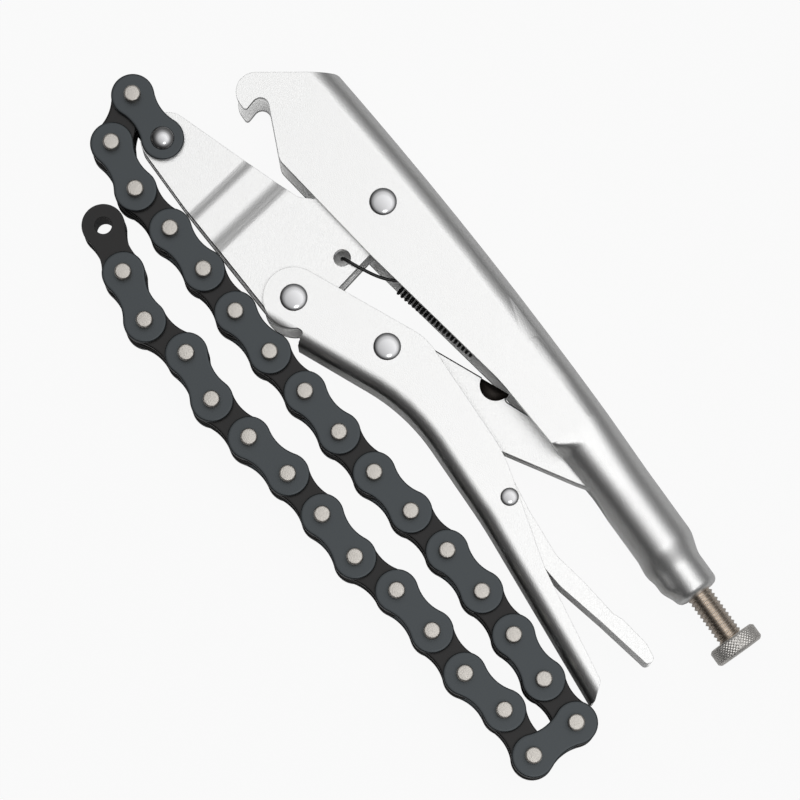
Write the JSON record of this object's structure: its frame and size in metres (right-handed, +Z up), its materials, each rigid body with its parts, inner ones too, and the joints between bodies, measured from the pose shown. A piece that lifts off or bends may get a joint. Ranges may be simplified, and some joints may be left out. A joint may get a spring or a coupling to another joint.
{
  "type": "locking chain clamp",
  "caption": "locking chain clamp of pressed steel: a fixed handle with two hook claws, an over-centre lower handle with a release lever, an adjusting screw, and a length of roller chain on a cranked arm",
  "frame": {"origin": "middle of the clamp's outline, on the surface it lies on", "axes": "X along the fixed handle towards the adjusting screw, Y towards the fixed handle's back, Z up through the rivets"},
  "size_m": [0.2476, 0.1026, 0.0246],
  "materials": {
    "plated_steel": "satin nickel plating",
    "polished_steel": "polished nickel plating",
    "screw_steel": "nickel plated thread and knurl",
    "spring_steel": "plated spring wire",
    "outer_link_steel": "black oxide with a light film of oil",
    "inner_link_steel": "black oxide with a light film of oil"
  },
  "bodies": {
    "handle_body": {"fixed_handle": "plated_steel", "handle_rivet": "polished_steel", "return_spring": "spring_steel"},
    "screw": {"adjusting_screw": "screw_steel"},
    "chain_arm": {"arm_plate_upper": "plated_steel", "arm_plate_lower": "plated_steel", "handle_spacer": "plated_steel", "arm_spacer": "plated_steel", "anchor_spacer": "plated_steel"},
    "lower_handle_body": {"lower_handle": "plated_steel", "arm_rivet": "polished_steel", "toggle_rivet": "polished_steel", "lever_rivet": "polished_steel", "toggle_spacers": "plated_steel"},
    "toggle": {"toggle_link": "plated_steel"},
    "lever": {"release_lever": "plated_steel"},
    "link_01": {"chain_link_01": "outer_link_steel", "anchor_rivet": "polished_steel"},
    "link_02": {"chain_link_02": "inner_link_steel"},
    "link_03": {"chain_link_03": "outer_link_steel"},
    "link_04": {"chain_link_04": "inner_link_steel"},
    "link_05": {"chain_link_05": "outer_link_steel"},
    "link_06": {"chain_link_06": "inner_link_steel"},
    "link_07": {"chain_link_07": "outer_link_steel"},
    "link_08": {"chain_link_08": "inner_link_steel"},
    "link_09": {"chain_link_09": "outer_link_steel"},
    "link_10": {"chain_link_10": "inner_link_steel"},
    "link_11": {"chain_link_11": "outer_link_steel"},
    "link_12": {"chain_link_12": "inner_link_steel"},
    "link_13": {"chain_link_13": "outer_link_steel"},
    "link_14": {"chain_link_14": "inner_link_steel"},
    "link_15": {"chain_link_15": "outer_link_steel"},
    "link_16": {"chain_link_16": "inner_link_steel"},
    "link_17": {"chain_link_17": "outer_link_steel"},
    "link_18": {"chain_link_18": "inner_link_steel"},
    "link_19": {"chain_link_19": "outer_link_steel"},
    "link_20": {"chain_link_20": "inner_link_steel"},
    "link_21": {"chain_link_21": "outer_link_steel"},
    "link_22": {"chain_link_22": "inner_link_steel"},
    "link_23": {"chain_link_23": "outer_link_steel"},
    "link_24": {"chain_link_24": "inner_link_steel"},
    "link_25": {"chain_link_25": "outer_link_steel"},
    "link_26": {"chain_link_26": "inner_link_steel"},
    "link_27": {"chain_link_27": "outer_link_steel"},
    "link_28": {"chain_link_28": "inner_link_steel"},
    "link_29": {"chain_link_29": "outer_link_steel"},
    "link_30": {"chain_link_30": "inner_link_steel"}
  },
  "joints": [
    {"name": "screw_travel", "type": "slide", "parent": "handle_body", "child": "screw", "axis": [1, 0, 0], "range_m": [0, 0.02]},
    {"name": "arm_pivot", "type": "hinge", "parent": "handle_body", "child": "chain_arm", "pos_m": [-0.04691, 0.03354, 0.0123], "axis": [0, 0, -1], "range_deg": [-5.54, 0.5], "deforming": ["return_spring"]},
    {"name": "handle_pivot", "type": "hinge", "parent": "chain_arm", "child": "lower_handle_body", "pos_m": [-0.03891, -0.00486, 0.0123], "axis": [0, 0, -1], "range_deg": [0, 36]},
    {"name": "toggle_pivot", "type": "hinge", "parent": "lower_handle_body", "child": "toggle", "pos_m": [-0.01071, 0.00914, 0.0123], "axis": [0, 0, -1], "range_deg": [-44.92, 1]},
    {"name": "lever_pivot", "type": "hinge", "parent": "lower_handle_body", "child": "lever", "pos_m": [0.04689, 0.01244, 0.0123], "axis": [0, 0, -1], "range_deg": [0, 9]},
    {"name": "chain_joint_01", "type": "hinge", "parent": "chain_arm", "child": "link_01", "pos_m": [-0.10141, -0.00866, 0.0123], "axis": [0, 0, -1], "range_deg": [0, 30]},
    {"name": "chain_joint_02", "type": "hinge", "parent": "link_01", "child": "link_02", "pos_m": [-0.11729, -0.00838, 0.0123], "axis": [0, 0, 1], "range_deg": [-150, 0]},
    {"name": "chain_joint_03", "type": "hinge", "parent": "link_02", "child": "link_03", "pos_m": [-0.10899, -0.02192, 0.0123], "axis": [0, 0, -1], "range_deg": [0, 90]},
    {"name": "chain_joint_04", "type": "hinge", "parent": "link_03", "child": "link_04", "pos_m": [-0.09329, -0.02426, 0.0123], "axis": [0, 0, -1], "range_deg": [-0.5, 31.1]},
    {"name": "chain_joint_05", "type": "hinge", "parent": "link_04", "child": "link_05", "pos_m": [-0.07749, -0.02274, 0.0123], "axis": [0, 0, -1], "range_deg": [0, 3.6]},
    {"name": "chain_joint_06", "type": "hinge", "parent": "link_05", "child": "link_06", "pos_m": [-0.06164, -0.02177, 0.0123], "axis": [0, 0, 1], "range_deg": [-1.75, 0]},
    {"name": "chain_joint_07", "type": "hinge", "parent": "link_06", "child": "link_07", "pos_m": [-0.04577, -0.02136, 0.0123], "axis": [0, 0, -1], "range_deg": [0, 1.15]},
    {"name": "chain_joint_08", "type": "hinge", "parent": "link_07", "child": "link_08", "pos_m": [-0.02995, -0.02011, 0.0123], "axis": [0, 0, 1], "range_deg": [-0.85, 0]},
    {"name": "chain_joint_09", "type": "hinge", "parent": "link_08", "child": "link_09", "pos_m": [-0.01416, -0.01845, 0.0123], "axis": [0, 0, -1], "range_deg": [0, 0.65]},
    {"name": "chain_joint_10", "type": "hinge", "parent": "link_09", "child": "link_10", "pos_m": [0.00168, -0.01734, 0.0123], "axis": [0, 0, 1], "range_deg": [-0.55, 0]},
    {"name": "chain_joint_11", "type": "hinge", "parent": "link_10", "child": "link_11", "pos_m": [0.01748, -0.01582, 0.0123], "axis": [0, 0, -1], "range_deg": [0, 0.45]},
    {"name": "chain_joint_12", "type": "hinge", "parent": "link_11", "child": "link_12", "pos_m": [0.03322, -0.01375, 0.0123], "axis": [0, 0, 1], "range_deg": [-0.4, 0]},
    {"name": "chain_joint_13", "type": "hinge", "parent": "link_12", "child": "link_13", "pos_m": [0.04897, -0.01182, 0.0123], "axis": [0, 0, -1], "range_deg": [0, 0.35]},
    {"name": "chain_joint_14", "type": "hinge", "parent": "link_13", "child": "link_14", "pos_m": [0.0648, -0.01057, 0.0123], "axis": [0, 0, 1], "range_deg": [-0.3, 0]},
    {"name": "chain_joint_15", "type": "hinge", "parent": "link_14", "child": "link_15", "pos_m": [0.08067, -0.01043, 0.0123], "axis": [0, 0, -1], "range_deg": [0, 0.3]},
    {"name": "chain_joint_16", "type": "hinge", "parent": "link_15", "child": "link_16", "pos_m": [0.09654, -0.01085, 0.0123], "axis": [0, 0, 1], "range_deg": [-0.25, 0]},
    {"name": "chain_joint_17", "type": "hinge", "parent": "link_16", "child": "link_17", "pos_m": [0.11242, -0.01057, 0.0123], "axis": [0, 0, 1], "range_deg": [0, 110]},
    {"name": "chain_joint_18", "type": "hinge", "parent": "link_17", "child": "link_18", "pos_m": [0.11297, -0.02644, 0.0123], "axis": [0, 0, -1], "range_deg": [-180, 0]},
    {"name": "chain_joint_19", "type": "hinge", "parent": "link_18", "child": "link_19", "pos_m": [0.09712, -0.02561, 0.0123], "axis": [0, 0, 1], "range_deg": [0, 45]},
    {"name": "chain_joint_20", "type": "hinge", "parent": "link_19", "child": "link_20", "pos_m": [0.08156, -0.02877, 0.0123], "axis": [0, 0, -1], "range_deg": [-45, 0]},
    {"name": "chain_joint_21", "type": "hinge", "parent": "link_20", "child": "link_21", "pos_m": [0.0657, -0.02933, 0.0123], "axis": [0, 0, 1], "range_deg": [0, 45]},
    {"name": "chain_joint_22", "type": "hinge", "parent": "link_21", "child": "link_22", "pos_m": [0.04989, -0.03085, 0.0123], "axis": [0, 0, -1], "range_deg": [-45, 0]},
    {"name": "chain_joint_23", "type": "hinge", "parent": "link_22", "child": "link_23", "pos_m": [0.0346, -0.03509, 0.0123], "axis": [0, 0, 1], "range_deg": [0, 45]},
    {"name": "chain_joint_24", "type": "hinge", "parent": "link_23", "child": "link_24", "pos_m": [0.01873, -0.03564, 0.0123], "axis": [0, 0, -1], "range_deg": [-45, 0]},
    {"name": "chain_joint_25", "type": "hinge", "parent": "link_24", "child": "link_25", "pos_m": [0.00291, -0.03689, 0.0123], "axis": [0, 0, 1], "range_deg": [0, 45]},
    {"name": "chain_joint_26", "type": "hinge", "parent": "link_25", "child": "link_26", "pos_m": [-0.01268, -0.03992, 0.0123], "axis": [0, 0, -1], "range_deg": [-45, 0]},
    {"name": "chain_joint_27", "type": "hinge", "parent": "link_26", "child": "link_27", "pos_m": [-0.02836, -0.0424, 0.0123], "axis": [0, 0, 1], "range_deg": [0, 45]},
    {"name": "chain_joint_28", "type": "hinge", "parent": "link_27", "child": "link_28", "pos_m": [-0.04412, -0.04047, 0.0123], "axis": [0, 0, -1], "range_deg": [-45, 0]},
    {"name": "chain_joint_29", "type": "hinge", "parent": "link_28", "child": "link_29", "pos_m": [-0.05937, -0.04484, 0.0123], "axis": [0, 0, 1], "range_deg": [0, 45]},
    {"name": "chain_joint_30", "type": "hinge", "parent": "link_29", "child": "link_30", "pos_m": [-0.07493, -0.04168, 0.0123], "axis": [0, 0, -1], "range_deg": [-45, 0]}
  ],
  "couplings": [
    {"joint": "arm_pivot", "follows": "handle_pivot", "ratio": -0.14},
    {"joint": "toggle_pivot", "follows": "handle_pivot", "ratio": -1.22},
    {"joint": "chain_joint_04", "follows": "handle_pivot", "ratio": 0.85}
  ]
}
